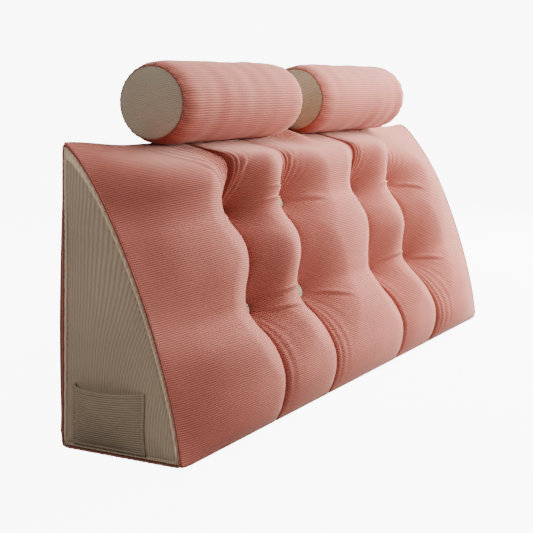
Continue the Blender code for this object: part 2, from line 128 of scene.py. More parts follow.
# Folds that fan out of each tuft towards its long seam. Start and end are lengths of cloth from
# the tuft's row, sideways is where the fold ends along the cushion, measured from its tuft
TUFT_FOLDS = (
    # column, row, start, end, sideways, height, half width
    (0, 1, 6, 150, -158, 2.2, 5.6),
    (0, 1, 10, 155, -128, 2.8, 5.4),
    (0, 1, 18, 158, -101, 3.2, 5),
    (0, 1, 30, 160, -76, 3.2, 4),
    (0, 1, 42, 160, -57, 3.6, 3.6),
    (0, 1, 55, 160, -40, 4, 3.2),
    (0, 1, 68, 160, -25, 4, 2.8),
    (0, 1, 8, 160, 9, 2.7, 2.8),
    (0, 1, 10, 150, 21, 1.9, 3.4),
    (0, 1, 8, 100, 36, 1.6, 4),
    (0, 1, 30, 160, 48, 1.1, 6.4),
    (0, 1, 50, 160, 76, 1.1, 8),
    (0, 1, 60, 160, 108, 0.8, 9),
    (1, 1, 40, 160, -34, 2, 4),
    (1, 1, 20, 160, -17, 2.6, 3.4),
    (1, 1, 6, 160, 10, 2.8, 3),
    (1, 1, 8, 160, 22, 2.3, 3.4),
    (1, 1, 8, 155, 42, 2, 3.6),
    (1, 1, 8, 80, 47, 1.4, 3.4),
    (1, 1, 6, 66, 64, 1.2, 3.6),
    (1, 1, 4, 46, 74, 1, 4),
    (1, 1, 60, 160, 95, 0.9, 8),
    (1, 1, 70, 160, 135, 0.8, 9),
    (2, 1, 40, 160, -18, 1.8, 3.6),
    (2, 1, 6, 160, 9, 2.5, 3),
    (2, 1, 8, 155, 21, 2, 3.4),
    (2, 1, 8, 110, 33, 1.4, 3.8),
    (2, 1, 6, 70, 48, 0.9, 4),
    (3, 1, 50, 160, -18, 1.4, 3.6),
    (3, 1, 6, 160, 10, 2.5, 3),
    (3, 1, 8, 150, 23, 2, 3.4),
    (3, 1, 8, 125, 38, 1.7, 3.8),
    (3, 1, 8, 110, 55, 1.3, 4.2),
    (3, 1, 8, 90, 68, 1.4, 4.2),
    (3, 1, 6, 70, 80, 1.1, 4.4),
    (3, 1, 4, 48, 92, 0.9, 4.8),
    (0, 0, 10, 190, -18, 0.4, 5.7),
    (0, 0, 8, 190, 13, 0.8, 4.6),
    (0, 0, 8, 150, 34, 0.8, 5.7),
    (0, 0, 6, 120, 62, 0.6, 6.9),
    (1, 0, 8, 200, 11, 0.9, 4.1),
    (1, 0, 8, 190, 27, 0.9, 5.1),
    (1, 0, 8, 160, 48, 0.7, 5.7),
    (1, 0, 6, 110, 74, 0.6, 6.2),
    (1, 0, 4, 60, 80, 0.4, 6.4),
    (2, 0, 10, 200, -14, 0.6, 4.1),
    (2, 0, 8, 200, 11, 0.8, 4.1),
    (2, 0, 8, 120, 28, 0.5, 5.3),
    (3, 0, 30, 200, -14, 0.4, 4.6),
    (3, 0, 8, 205, 10, 1, 3.9),
    (3, 0, 8, 200, 24, 1, 4.6),
    (3, 0, 8, 190, 44, 0.8, 5.3),
    (3, 0, 8, 165, 68, 0.7, 6),
    (3, 0, 6, 120, 88, 0.6, 6.4),
    (3, 0, 4, 60, 90, 0.5, 6.4),
)
LONG_FOLD, FOLD_BOW, FOLD_ROOT = 0.14, 1.7, 0.004  # folds this long run on into the seam

# Creases that run sideways out of a tuft. Each reach is counted from the tuft's row
CREASES = (
    # row, start x, start reach, end x, end reach, height, half width
    (1, -200, 8, -305, 12, 3, 3.3),
    (1, -200, -8, -345, -10, 3.7, 3.3),
    (0, -365, 6, -203, 10, 4.5, 4),
    (0, -360, -16, -260, -24, 2.5, 4),
    (1, 370, 6, 315, 10, 3, 2.9),
    (1, 370, -10, 265, -16, 3.7, 3.6),
    (0, 205, 6, 360, 8, 3.7, 4),
    (1, 410, -12, 500, -50, 2.8, 4.6),
    (0, -155, -8, -60, -40, 2.8, 4.6),
    (0, 412, -8, 500, -34, 2.8, 4.6),
    (1, -155, -4, -60, -24, 2.5, 5),
    (1, -420, -10, -500, -40, 2.2, 5),
)

# Each cloth's colours on its ribs, darker between them as painted shade in the hollows, and in its sheen
PALE_SHEEN = (1.0, 0.92, 0.80, 1.0)
ROSE = ((0.44, 0.130, 0.098, 1.0), (0.21, 0.051, 0.037, 1.0), (1.0, 0.68, 0.60, 1.0))
BEIGE = ((0.62, 0.475, 0.340, 1.0), (0.36, 0.265, 0.178, 1.0), PALE_SHEEN)
POCKET_BEIGE = ((0.55, 0.422, 0.300, 1.0), (0.32, 0.234, 0.155, 1.0), PALE_SHEEN)
CAP_BEIGE = ((0.62, 0.505, 0.380, 1.0), (0.43, 0.338, 0.240, 1.0), PALE_SHEEN)
BUTTON_BEIGE = ((0.42, 0.34, 0.26, 1.0), (0.28, 0.22, 0.16, 1.0), (1.0, 0.94, 0.86, 1.0))

# The rib pitches are those of the cloth as it is stretched over each piece
CLOTHS = {
    # name: colours, sheen, rib pitch, rib shape, bump height, how much a painted highlight lightens a turned
    # rim
    "rose": (ROSE, 0.38, 0.0035, 0.75, 0.0007, 0.0),
    "bolster_rose": (ROSE, 0.30, 0.0046, 0.65, 0.0006, 0.0),
    "beige": (BEIGE, 0.30, 0.0049, 0.60, 0.0007, 0.85),
    "pocket_beige": (POCKET_BEIGE, 0.25, 0.0039, 0.75, 0.0009, 0.0),
    "fine_beige": (CAP_BEIGE, 0.30, 0.0030, 0.75, 0.0006, 0.0),
    "button_cloth": (BUTTON_BEIGE, 0.30, 0.0030, 0.75, 0.0005, 0.0),
}

# The camera's heading, and a floor that runs away from it and curves up into a wall
CAMERA_YAW = math.radians(63.62)
FLOOR_NEAR, FLOOR_FAR, FLOOR_HALF_WIDTH, FLOOR_GAP = -12.0, 9.0, 14.0, 0.0004
WALL_TURN, WALL_TOP = 1.6, 12.0
LIGHTS = (
    # name, place, target, size, power, colour, spread in degrees
    ("key", (2.50, -0.70, 1.55), (0.1, 0.0, 0.25), (1.9, 1.9), 430.0, (1.0, 0.93, 0.87), 180.0),
    ("front", (0.80, -1.6, 0.95), (0.15, 0.0, 0.44), (0.8, 0.8), 6.0, (1.0, 0.94, 0.89), 60.0),
    ("fill", (-2.6, 0.5, 1.7), (-0.75, 0.0, 0.5), (1.2, 1.0), 17.5, (1.0, 0.98, 0.97), 180.0),
    ("top", (0.5, -0.2, 3.0), (0.2, 0.0, 0.4), (2.0, 1.6), 40.0, (1.0, 0.98, 0.97), 180.0),
)


def smooth(share):
    """Eases from 0 to 1."""
    share = np.clip(share, 0.0, 1.0)
    return share * share * (3 - 2 * share)


def bell(value, middle, width):
    """A soft bump: 1 at its middle, and nearly 0 at twice its width."""
    return np.exp(-(((value - middle) / width) ** 2))


def travelled(line):
    """Length of a line up to each of its points."""
    return np.concatenate(([0.0], np.cumsum(np.linalg.norm(np.diff(line, axis=0), axis=1))))


def seam_curve(samples=1200):
    """The front seam from its foot to the top corner: reach, depth and height of each sample."""
    turn = math.pi / 2 * (1 - np.arange(samples + 1) / samples)
    depth = SEAM_INSET + (DEPTH - SEAM_INSET) * np.abs(np.sin(turn)) ** (2 / FRONT_CURVE)
    height = SEAM_INSET + (HEIGHT - SEAM_INSET) * np.abs(np.cos(turn)) ** (2 / FRONT_CURVE)
    return travelled(np.stack((depth, height), axis=-1)), depth, height


SEAM_REACH, SEAM_DEPTH, SEAM_HEIGHT = seam_curve()
FULL_REACH = float(SEAM_REACH[-1])
TUFT_ROWS = tuple(float(np.interp(z, SEAM_HEIGHT, SEAM_REACH)) for z in TUFT_ROW_HEIGHTS)
NAMED_ROWS = (0.0, *TUFT_ROWS, FULL_REACH)


def on_seam(reach):
    """Depth and height of the front seam at each reach."""
    return np.interp(reach, SEAM_REACH, SEAM_DEPTH), np.interp(reach, SEAM_REACH, SEAM_HEIGHT)


def outward(reach, step=0.012):
    """Unit normal of the front seam's curve, as depth and height."""
    low = on_seam(np.maximum(reach - step, 0.0))
    high = on_seam(np.minimum(reach + step, FULL_REACH))
    along = np.hypot(high[0] - low[0], high[1] - low[1])
    return (high[1] - low[1]) / along, -(high[0] - low[0]) / along


def looked_up(table, reach, column=1):
    """Values for places up the front, eased between the table's rows."""
    spot = np.interp(reach, NAMED_ROWS, (0.0, 1.0, 2.0, 3.0))
    places = np.array([row[0] for row in table])
    values = np.array([row[column] for row in table]) / 1000
    slopes = np.gradient(values, places)
    low = np.clip(np.searchsorted(places, spot, side="right") - 1, 0, len(places) - 2)
    step = places[low + 1] - places[low]
    t = (spot - places[low]) / step
    return (
        (2 * t**3 - 3 * t**2 + 1) * values[low]
        + (t**3 - 2 * t**2 + t) * step * slopes[low]
        + (3 * t**2 - 2 * t**3) * values[low + 1]
        + (t**3 - t**2) * step * slopes[low + 1]
    )


def across_channel(channel, share, roundness):
    """A channel's fullness across its width, 0 at its grooves and 1 at its crest."""
    last = len(TUFT_COLUMNS)
    from_end = np.where(channel == 0, share, 1 - share)
    crest = np.where(channel == 0, END_CRESTS[0], END_CRESTS[1])
    rising = np.sin(math.pi / 2 * np.clip(from_end / crest, 0.0, 1.0))
    beyond = np.clip((from_end - crest) / (1 - crest), 0.0, 1.0)
    edge = (channel == 0) | (channel == last)
    offset = np.where(edge, beyond, np.abs(2 * share - 1))
    flank = np.maximum(1 - offset**roundness, 0.0) ** (1 / roundness)
    return np.where(edge & (from_end < crest), rising, flank)


def nearest(x, y, points):
    """How far places are from a line, on which side, and where along it, counted in its steps."""
    best = np.full(x.shape, 1e9)
    side, place = np.zeros(x.shape), np.zeros(x.shape)
    for i in range(len(points) - 1):
        (x0, y0), (x1, y1) = points[i], points[i + 1]
        dx, dy = x1 - x0, y1 - y0
        t = np.clip(((x - x0) * dx + (y - y0) * dy) / math.hypot(dx, dy) ** 2, 0.0, 1.0)
        away_x, away_y = x - x0 - t * dx, y - y0 - t * dy
        away = np.hypot(away_x, away_y)
        nearer = away < best
        best = np.where(nearer, away, best)
        side = np.where(nearer, np.sign(away_x * dy - away_y * dx), side)
        place = np.where(nearer, i + t, place)
    return best, side, place


def fold_line(x, reach, points, height, width, fade, widening=0.0):
    """A soft fold along a line, with a crease on its lower side, as added height."""
    away, side, place = nearest(x, reach, points)
    place = place / (len(points) - 1)
    across = away * side / (width * (1 + widening * (place - 0.5)))
    ridge = bell(across, 0.0, 1.0)
    dip = bell(across, 1.5, 0.6)
    return height * fade(place) * (ridge - 0.7 * dip)


def running_fade(place):
    """A fold that starts at its tuft and runs on into the seam."""
    return smooth(place / 0.18) * (1 - 0.4 * smooth((place - 0.6) / 0.4))


def dying_fade(place):
    """A fold that starts at its tuft and dies away."""
    return smooth(place / 0.16) * (1 - smooth((place - 0.30) / 0.70))


def both_ends_fade(place):
    """A crease that dies away at both of its ends."""
    return np.clip(np.sin(math.pi * place), 0.0, 1.0) ** 0.75


def folds(x, reach):
    """Every fan and crease together."""
    total = np.zeros(x.shape)
    for column, row, *lengths in TUFT_FOLDS:
        start, end, sideways, height, width = (length / 1000 for length in lengths)
        column, away = TUFT_COLUMNS[column], math.copysign(1.0, sideways)
        towards = 1.0 if row == 1 else -1.0
        points = []
        for t in np.linspace(0.0, 1.0, 13):
            out = FOLD_ROOT + (abs(sideways) - FOLD_ROOT) * (1 - (1 - t) ** FOLD_BOW)
            points.append((out, TUFT_ROWS[row] + towards * (start + (end - start) * t**1.2)))
        fade = running_fade if end >= LONG_FOLD else dying_fade
        total += fold_line(away * (x - column), reach, points, height, width, fade, 0.7)
    for row, *lengths in CREASES:
        x0, r0, x1, r1, height, width = (length / 1000 for length in lengths)
        bend = 0.10 * abs(x1 - x0)
        points = []
        for t in np.linspace(0.0, 1.0, 9):
            points.append((x0 + (x1 - x0) * t, TUFT_ROWS[row] + r0 + (r1 - r0) * t + bend * t * (1 - t)))
        total += fold_line(x, reach, points, height, width, both_ends_fade)
    return total


def waves(x, reach):
    """Slow, uneven swellings of the filling."""
    slow = 0.0006 * np.sin(23 * x + 9 * reach + 0.6) * np.sin(31 * reach - 4 * x + 1.1)
    slow += 0.0005 * np.sin(47 * x - 13 * reach + 2.0) * np.sin(17 * reach + 11 * x)
    return slow * np.sin(math.pi * np.clip(reach / FULL_REACH, 0, 1))


def straightened(x, reach):
    """Where each place would be if the grooves below the tufts ran straight down."""
    down = np.clip((TUFT_ROWS[0] - reach) / TUFT_ROWS[0], 0.0, 1.0)
    for column, drift in zip(TUFT_COLUMNS, GROOVE_DRIFT):
        near = bell(x, column, 0.09)
        x = x - drift * near * smooth(down)
    return x


def front_height(x, reach):
    """The cloth's height above the seam's curve, with its channels, tufts and folds."""
    x = straightened(x, reach)
    edges = np.array((-BODY_END, *TUFT_COLUMNS, BODY_END))
    channel = np.clip(np.searchsorted(edges, x, side="right") - 1, 0, len(TUFT_COLUMNS))
    share = (x - edges[channel]) / (edges[channel + 1] - edges[channel])
    floor = looked_up(GROOVE_FLOOR, reach)
    last = channel == len(TUFT_COLUMNS)
    left = np.where(channel == 0, 0.0, floor)
    right = np.where(last, 0.0, floor)
    along = np.where(last, 1 - (1 - share) ** LAST_CHANNEL_RISE, share)
    base = left + (right - left) * along
    crown = np.zeros(x.shape)
    for k in range(len(TUFT_COLUMNS) + 1):
        crown = np.where(channel == k, looked_up(CRESTS, reach, k + 1), crown)
    firm = np.where(last, 0.0, TOP_ROUNDNESS)
    roundness = FLANK_ROUNDNESS + firm * smooth((reach - TUFT_ROWS[1]) / 0.06)
    height = base + np.maximum(crown - base, 0.0) * across_channel(channel, share, roundness)
    to_seam = np.minimum(reach, FULL_REACH - reach)
    to_end = BODY_END - np.abs(x)
    free = smooth(to_seam / 0.03) * smooth(to_end / 0.05)
    height = height + waves(x, reach) * free
    up = np.clip((reach - TUFT_ROWS[1]) / (FULL_REACH - TUFT_ROWS[1]), 0.0, 1.0)
    down = np.clip((TUFT_ROWS[0] - reach) / TUFT_ROWS[0], 0.0, 1.0)
    for column, wide in zip(TUFT_COLUMNS, GROOVE_WIDTHS):
        above = bell(x, column, wide) * np.sin(math.pi * up) ** 0.7
        below = bell(x, column, LOW_GROOVE_WIDTH)
        below = below * np.clip(4.5 * down * (1.12 - down), 0.0, 1.0)
        height = height - GROOVE_DEPTH * (above + below)
    for column, floors in zip(TUFT_COLUMNS, TUFT_FLOORS):
        for row, bottom in zip(TUFT_ROWS, floors):
            away = np.maximum(np.hypot(x - column, reach - row) - PIT_RADIUS, 0.0)
            pulled = np.maximum(1 - (away / PIT_REACH) ** PIT_STEEPNESS, 0.0) ** PIT_FADE
            height = height + (bottom - height) * pulled
    return height + folds(x, reach) * free


def sag(x):
    """How far the top edge sinks between its corners."""
    return TOP_SAG * smooth((BODY_END - np.abs(x)) / SAG_RUN)


def end_share(x):
    """How near an end is: 1 at it, and 0 past its soft edge."""
    return np.maximum(0.0, 1 - (BODY_END - np.abs(x)) / EDGE_SOFTNESS) ** 2


def under_bolster(x, depth, height):
    """Lowers the cushion's top where a bolster's round underside presses on it."""
    inner = BOLSTER_GAP / 2
    past = np.maximum(np.maximum(inner - np.abs(x), np.abs(x) - inner - BOLSTER_LENGTH), 0.0)
    reach = (BOLSTER_RADIUS + SEAT_GAP) * np.maximum(0.0, 1 - past / SEAT_MARGIN)
    across = depth - BOLSTER_AXIS_DEPTH
    axis = BOLSTER_UNDERSIDE + BOLSTER_RADIUS
    inside = (np.hypot(across, height - axis) < reach) & (np.abs(across) < reach)
    pressed = axis - np.sqrt(np.maximum(reach * reach - across * across, 0.0))
    return np.where(inside, pressed, height)


def front_points(x, reach):
    """Depth and height of the cloth at places along the cushion and up its front."""
    depth, height = on_seam(reach)
    out_depth, out_height = outward(reach)
    raised = front_height(x, reach)
    above = np.maximum(0.0, (reach - TUFT_ROWS[1]) / (FULL_REACH - TUFT_ROWS[1]))
    out_height = out_height * (1 - smooth(np.minimum(1.0, above / TOP_TURN)))
    ease = SEAM_INSET * (1 - SEAM_EASE) * (1 - end_share(x))
    height = height - sag(x) * (height / HEIGHT) ** 2 - ease * (1 - reach / FULL_REACH)
    depth = depth - ease * (reach / FULL_REACH) ** 4 + out_depth * raised
    height = np.maximum(height + out_height * raised, SEAM_INSET * SEAM_EASE)
    swell = bell(x, 0.0, 0.040) * smooth((depth - 0.006) / 0.03) * smooth((0.12 - depth) / 0.06)
    height = height + BETWEEN_SWELL * swell * above
    return depth, under_bolster(x, depth, height)


def spaced(low, high, spots, fine, middle, coarse, near, wide):
    """Places between two ends, closest together around the given spots."""
    found, spot = [low], low
    while spot < high:
        away = min(abs(spot - other) for other in spots)
        step = fine if away < near else middle if away < wide else coarse
        spot += step
        found.append(spot)
    found = np.array(found)
    return low + (found - low) * (high - low) / (found[-1] - low)


X_SHIFT = (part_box("cushion")[0].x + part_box("cushion")[1].x) / 2
BACK_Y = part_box("cushion")[1].y


def placed(x, depth, height):
    """Stacks x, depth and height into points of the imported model's frame."""
    x, depth, height = np.broadcast_arrays(x, depth, height)
    droop = TIP_DROOP * smooth((x - 0.53) / 0.17) * smooth((height - 0.34) / 0.14)
    return np.stack((x + X_SHIFT, BACK_Y - depth, height - droop), axis=-1)


def tidy_normals(made, fill):
    """Turns every face outwards, once any holes are filled where that is asked."""
    work = bmesh.new()
    work.from_mesh(made.data)
    if fill:
        open_edges = [edge for edge in work.edges if edge.is_boundary]
        bmesh.ops.holes_fill(work, edges=open_edges, sides=0)
    bmesh.ops.recalc_face_normals(work, faces=work.faces)
    for face in work.faces:
        face.smooth = True
    work.to_mesh(made.data)
    work.free()


def piece(name, points, faces, corner_uvs, material, fill=False):
    """A smooth mesh object with one UV map, riding on the part. Open holes may be filled."""
    mesh = bpy.data.meshes.new(name)
    mesh.from_pydata(np.asarray(points).tolist(), [], faces)
    layer = mesh.uv_layers.new(name="cloth")
    layer.data.foreach_set("uv", np.asarray(corner_uvs, dtype=np.float32).ravel())
    mesh.materials.append(material)
    mesh.shade_smooth()
    made = bpy.data.objects.new(name, mesh)
    bpy.context.scene.collection.objects.link(made)
    tidy_normals(made, fill)
    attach(made, "root")
    return made


def grid_faces(rows, columns, wrap=False):
    """Quads of a grid, and the (row, column) of each corner for its UVs."""
    last = columns if wrap else columns - 1
    i, j = np.meshgrid(np.arange(rows - 1), np.arange(last), indexing="ij")
    i, j = i.ravel(), j.ravel()
    following = (j + 1) % columns
    corners = [(i, j, j), (i + 1, j, j), (i + 1, following, j + 1), (i, following, j + 1)]
    faces = np.stack([a * columns + b for a, b, _ in corners], axis=-1)
    places = np.stack([np.stack((a, c), axis=-1) for a, _, c in corners], axis=1)
    return faces, places


def inner_radius(step=0.0005):
    """Radius of the round hub about which an end's outline shrinks."""
    radius = 0.0
    while np.hypot(radius - SEAM_DEPTH, radius - SEAM_HEIGHT).min() > radius - SEAM_INSET:
        radius += step
    return radius


HUB = inner_radius()


def crown_at(share):
    """How far a crowned end stands out, at a share of the way from its hub to its outline."""
    return PANEL_CROWN * np.maximum(1 - (np.asarray(share) / PANEL_EDGE) ** PANEL_CROWN_CURVE, 0.0)


REACHES = spaced(0.0, FULL_REACH, TUFT_ROWS, 0.0022, 0.0032, 0.0040, 0.026, 0.05)
STATIONS = spaced(
    -BODY_END, BODY_END, (*TUFT_COLUMNS, -BODY_END, BODY_END), 0.0015, 0.0028, 0.0056, 0.024, 0.085
)


def make_cover(material):
    """The wedge's cover: front, back, base and the crowned ends that the panels lie on."""
    x = STATIONS
    depth, height = front_points(*np.meshgrid(x, REACHES, indexing="ij"))
    rings = []
    down = np.linspace(1.0, 0.0, BACK_STEPS + 2)[1:-1]
    along = np.linspace(0.0, 1.0, 8)[1:-1]
    full = np.sin(math.pi * (1 - (1 - down) ** 1.3)) ** 0.7 + 0.35 * bell(down, 0.05, 0.04)
    for i, station in enumerate(x):
        end = float(end_share(station))
        top = height[i, -1]
        foot = SEAM_INSET * (end + SEAM_EASE * (1 - end))
        back = SEAM_INSET * end - BACK_PUFF * (1 - 0.2 * end) * full
        ring_depth = np.concatenate((depth[i], back, [foot], foot + (DEPTH - foot) * along))
        ring_height = np.concatenate(
            (height[i], SEAM_INSET + (top - SEAM_INSET) * down, [foot], np.full(6, SEAM_INSET * end))
        )
        rings.append(placed(station, ring_depth, ring_height))
    rings = np.array(rings)
    count = rings.shape[1]
    middle = rings[len(x) // 2]
    steps = np.linalg.norm(np.roll(middle, -1, axis=0) - middle, axis=1)
    v = np.concatenate((REACHES, FULL_REACH + np.cumsum(steps[len(REACHES) - 1 :])))
    faces, places = grid_faces(len(x), count, wrap=True)
    uvs = np.stack((x[places[..., 0]], v[places[..., 1]]), axis=-1)
    points = [rings.reshape(-1, 3)]
    all_faces, all_uvs = [faces], [uvs]
    total = len(x) * count
    j, following = np.arange(count), (np.arange(count) + 1) % count
    for side, last in ((-1, 0), (1, (len(x) - 1) * count)):
        ring = rings[0 if side < 0 else -1]
        spot = np.stack((BACK_Y - ring[:, 1], ring[:, 2]), axis=-1)
        before = last
        for share in (0.95, 0.75, 0.45, 0.02):
            scaled = HUB + (spot - HUB) * share
            out = BODY_END + 0.97 * float(crown_at(share))
            points.append(placed(side * out, scaled[:, 0], scaled[:, 1]))
            quad = np.stack((before + j, total + j, total + following, before + following), axis=-1)
            all_faces.append(quad if side < 0 else quad[:, ::-1])
            all_uvs.append(np.stack([spot[j], spot[j], spot[following], spot[following]], axis=1))
            before = total
            total += count
    points = np.concatenate(points)
    faces = np.concatenate(all_faces)
    uvs = np.concatenate(all_uvs)
    made = piece("wedge_cover", points, faces.tolist(), uvs, material, fill=True)
    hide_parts("cushion")


def edge_distance(spot, outline):
    """Distance from points to a closed outline, and how far round it the nearest place is."""
    closed = np.concatenate((outline, outline[:1]))
    away, _, place = nearest(spot[:, 0], spot[:, 1], closed)
    return away, np.interp(place, np.arange(len(closed)), travelled(closed))


def end_outline(samples=150):
    """An end's outline as (depth, height), evenly spaced, starting at the front's foot."""
    reach = np.linspace(0.0, FULL_REACH, samples)
    depth, height = front_points(np.full(samples, BODY_END), reach)
    top = height[-1]
    down = np.linspace(1.0, 0.0, 90)[1:]
    along = np.linspace(0.0, 1.0, 44)[1:-1]
    depth = np.concatenate((depth, np.full(89, SEAM_INSET), SEAM_INSET + (DEPTH - SEAM_INSET) * along))
    height = np.concatenate((height, SEAM_INSET + (top - SEAM_INSET) * down, np.full(42, SEAM_INSET)))
    return np.stack((depth, height), axis=-1)


OUTLINE = end_outline()
TOWARDS_TIP = smooth((OUTLINE[:, 1] - 0.34) / 0.14)
RIM = PANEL_EDGE + TIP_REACH * TOWARDS_TIP


def panel_rise(spot, share):
    """How far an end panel's outer face stands beyond the cushion's body."""
    rim = HUB + (OUTLINE - HUB) * RIM[:, None]
    away, around = edge_distance(spot, rim[::3])
    turns = 2 * math.pi * around
    wavy = 1 + 0.34 * np.sin(turns / PUCKER_PITCH) + 0.20 * np.sin(turns / 0.031)
    roll = bell(away, 0.0028, 0.0019) * 0.0025 * wavy
    ditch = bell(away, 0.0068, 0.0012) * 0.0016
    pucker = bell(away, 0.011, 0.006) * 0.0006 * np.sin(turns / PUCKER_PITCH + 1.2)
    rise = crown_at(share) + CLOTH + roll - ditch + pucker * smooth(away / 0.008)
    drop = smooth(away / 0.0014)
    return PANEL_GAP + PANEL_RIM_RISE + (rise - PANEL_RIM_RISE) * drop


def rib_fan(spot):
    """The distance across the ribs of an end panel, whose cloth is pulled round near its front."""
    depth, height = spot[..., 0], spot[..., 1]
    pull = smooth((depth - 0.015) / 0.18)
    lean = 0.030 * (1 + np.tanh((height - 0.20) / 0.085))
    return depth - pull * lean


def make_end_panel(name, side, material):
    """An end panel: a closed thin sheet over the cushion's crowned end."""
    shares = np.concatenate((np.linspace(1.0, 0.90, 24), np.linspace(0.89, 0.08, 20), [0.0])) * PANEL_EDGE
    count = len(OUTLINE)
    rim_highlight = []
    outer, inner, uvs_at = [], [], []
    for share in shares:
        spot = HUB + (OUTLINE - HUB) * (share * RIM / PANEL_EDGE)[:, None]
        out = panel_rise(spot, share)
        if share >= PANEL_EDGE:
            out = np.full(count, PANEL_GAP + PANEL_RIM_RISE)
        inset = HUB * (PANEL_EDGE - share)
        # Painted highlight: the rolled rim is marked to be drawn paler, as where it catches the light,
        # fading out near the floor
        rim_highlight.append((1 - smooth((inset - 0.0044) / 0.0016)) * smooth((spot[:, 1] - 0.012) / 0.02))
        outer.append(placed(side * (BODY_END + out), spot[:, 0], spot[:, 1]))
        inner.append(placed(side * (BODY_END + PANEL_GAP + crown_at(share)), spot[:, 0], spot[:, 1]))
        uvs_at.append(np.stack((spot[:, 1], rib_fan(spot)), axis=-1))
    rows = len(shares)
    points = np.concatenate(outer + inner)
    at = np.concatenate(uvs_at + uvs_at)
    faces, _ = grid_faces(rows, count, wrap=True)
    under = faces + rows * count
    k, following = np.arange(count), (np.arange(count) + 1) % count
    rim = np.stack((k, rows * count + k, rows * count + following, following), axis=-1)
    if side > 0:
        under = under[:, ::-1]
    else:
        faces = faces[:, ::-1]
        rim = rim[:, ::-1]
    every = np.concatenate((faces, under, rim))
    made = piece(name, points, every.tolist(), at[every], material)
    rim_highlight_mask = made.data.attributes.new("rim_highlight", "FLOAT", "POINT")
    rim_highlight_mask.data.foreach_set("value", np.concatenate(rim_highlight + rim_highlight).astype(np.float32))
    area = 0.5 * abs(np.sum(OUTLINE[:, 0] * np.roll(OUTLINE[:, 1], -1)
                            - np.roll(OUTLINE[:, 0], -1) * OUTLINE[:, 1]))
    return made, area


def rounded(outline, times=3):
    """The outline with its corners softened."""
    for _ in range(times):
        outline = (np.roll(outline, 1, axis=0) + 2 * outline + np.roll(outline, -1, axis=0)) / 4
    return outline


def make_welt(name, side, material):
    """The corded seam round an end panel, with the slight waves of its gathered cloth."""
    spot = rounded(HUB + (OUTLINE - HUB) * (WELT_SHARE + WELT_TIP_REACH * TOWARDS_TIP)[:, None])
    around = travelled(np.concatenate((spot, spot[:1])))
    wave = 0.00025 * np.sin(2 * math.pi * around[:-1] / 0.0127)
    centres = placed(side * (BODY_END + CLEARANCE + WELT_RADIUS), spot[:, 0], spot[:, 1])
    tangent = np.roll(centres, -1, axis=0) - np.roll(centres, 1, axis=0)
    tangent = tangent / np.linalg.norm(tangent, axis=1, keepdims=True)
    up = np.array([side, 0.0, 0.0])
    across = np.cross(tangent, up)
    centres = centres + across * wave[:, None]
    angle = 2 * math.pi * np.arange(WELT_SIDES)[None, :, None] / WELT_SIDES
    rings = (
        centres[:, None, :]
        + WELT_RADIUS * np.cos(angle) * across[:, None, :]
        + WELT_SQUASH * WELT_RADIUS * np.sin(angle) * up
    )
    faces, places = grid_faces(len(spot) + 1, WELT_SIDES, wrap=True)
    faces = faces % (len(spot) * WELT_SIDES)
    uvs = np.stack((places[..., 1] * 0.0012, around[np.minimum(places[..., 0], len(spot))]), axis=-1)
    made = piece(name, rings.reshape(-1, 3), faces.tolist(), uvs, material)
    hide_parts(name.replace("seam_", ""))


def stitch_welt(name, side, material):
    """The dotted row of stitches just inside a welt."""
    spot = rounded(HUB + (OUTLINE - HUB) * (STITCH_SHARE + WELT_TIP_REACH * TOWARDS_TIP)[:, None])
    line = placed(side * (BODY_END + STITCH_RISE), spot[:, 0], spot[:, 1])
    stitches(name, line, side, 0.0042, 0.0028, 0.0012, material)


def pocket_point(across, up, layer):
    """A point of the pocket: across and up from 0 to 1, layer 0 inside and 1 outside."""
    width = POCKET_DEPTHS[1] - POCKET_DEPTHS[0]
    tall = POCKET_HEIGHTS[1] - POCKET_HEIGHTS[0]
    risen = np.maximum((up * tall - POCKET_SEAM) / (tall - POCKET_SEAM), 0.0)
    inside = np.clip((across * width - POCKET_SEAM) / (width - 2 * POCKET_SEAM), 0.0, 1.0)
    pouch = POCKET_POUCH * np.sin(math.pi * inside**0.82) ** 0.72 * risen**0.60
    dip = POCKET_MOUTH_DIP * np.sin(math.pi * across) * up**3
    depth = POCKET_DEPTHS[0] + width * across
    height = POCKET_HEIGHTS[0] + tall * up - dip
    spot = np.stack((depth, height), axis=-1).reshape(-1, 2)
    share = np.zeros(len(spot))
    for before, point in zip(np.roll(OUTLINE, 1, axis=0)[::2], OUTLINE[::2]):
        normal = np.array((point[1] - before[1], before[0] - point[0]))
        edge = normal @ (point - HUB)
        if abs(edge) > 1e-9:
            share = np.maximum(share, (spot - HUB) @ normal / edge)
    out = PANEL_GAP + CLOTH + crown_at(share).reshape(across.shape) + POCKET_GAP + pouch
    sag_fold = 0.0016 * np.sin(math.pi * inside) * risen * np.sin(2 * math.pi * (1.6 * inside + 1.1 * up))
    out = out + np.where(layer > 0, CLOTH, 0.0) + sag_fold * (1 - up * 0.5)
    down = (1 - up) * tall
    hem = bell(down, 0.0035, 0.0035) * 0.0008
    stitched = bell(down, 0.0085, 0.0012) * 0.0005
    side = np.minimum(across, 1 - across) * width
    side_ditch = bell(side, 0.0050, 0.0012) * 0.0007
    out = out + np.where(layer > 0, hem - stitched - side_ditch, 0.0)
    return -(BODY_END + out), depth, height


